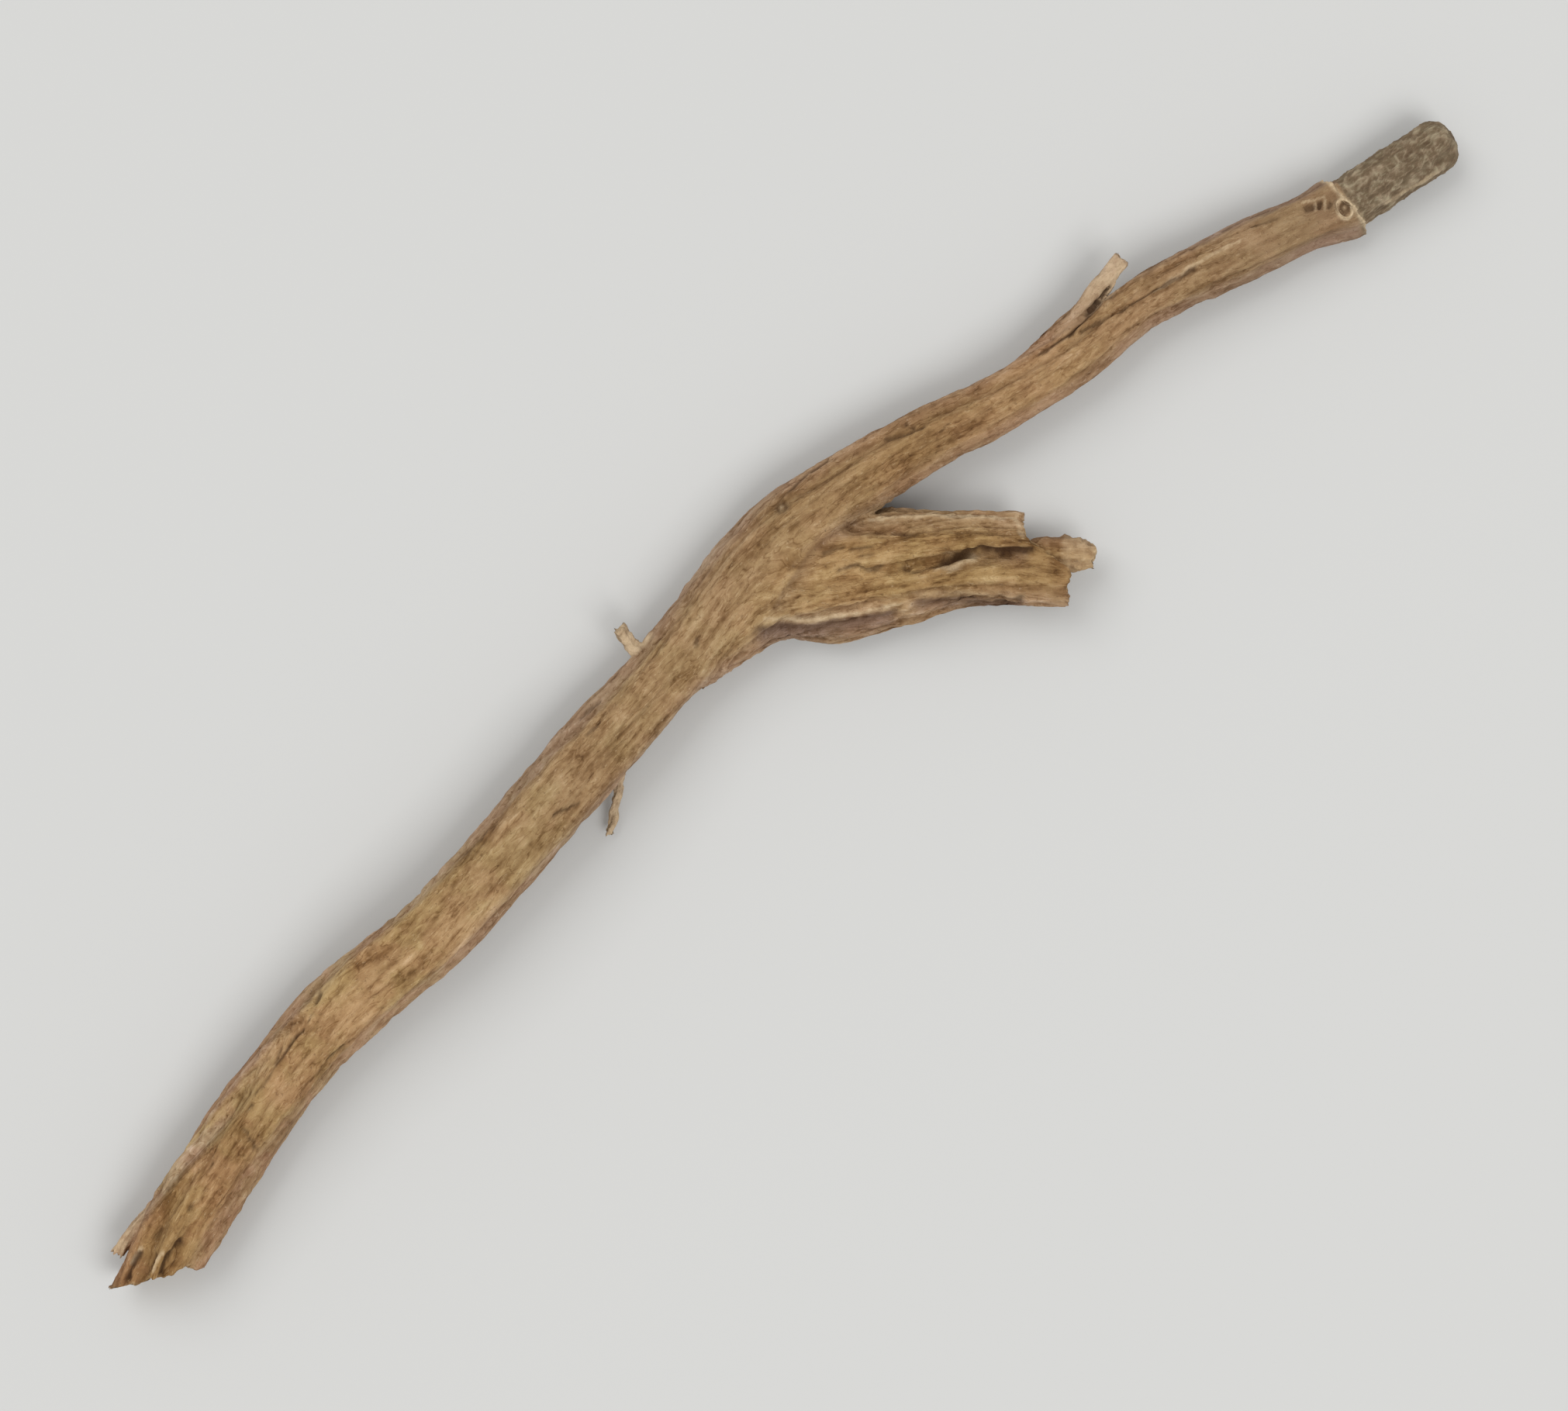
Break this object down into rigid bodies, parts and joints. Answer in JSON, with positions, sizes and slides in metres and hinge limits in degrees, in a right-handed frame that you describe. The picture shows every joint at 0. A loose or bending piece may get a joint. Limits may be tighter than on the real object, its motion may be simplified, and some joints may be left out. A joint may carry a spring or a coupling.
{
  "type": "dried valerian root",
  "caption": "Forked, furrowed piece of dried root that lies flat: a long bent stem with a torn collar and blunt tip, and a short broad side arm with a ragged break.",
  "frame": {"origin": "middle of the root's length and breadth, on the surface that it lies on", "axes": "+X to the right and +Y up in the picture, +Z up from the surface; the stem runs from -X -Y to +X +Y"},
  "size_m": [0.0568, 0.0492, 0.0037],
  "materials": {
    "bark": "dry, matt, finely wrinkled bark, greyer at the tip"
  },
  "bodies": {
    "root": {"root": "bark"}
  },
  "joints": []
}
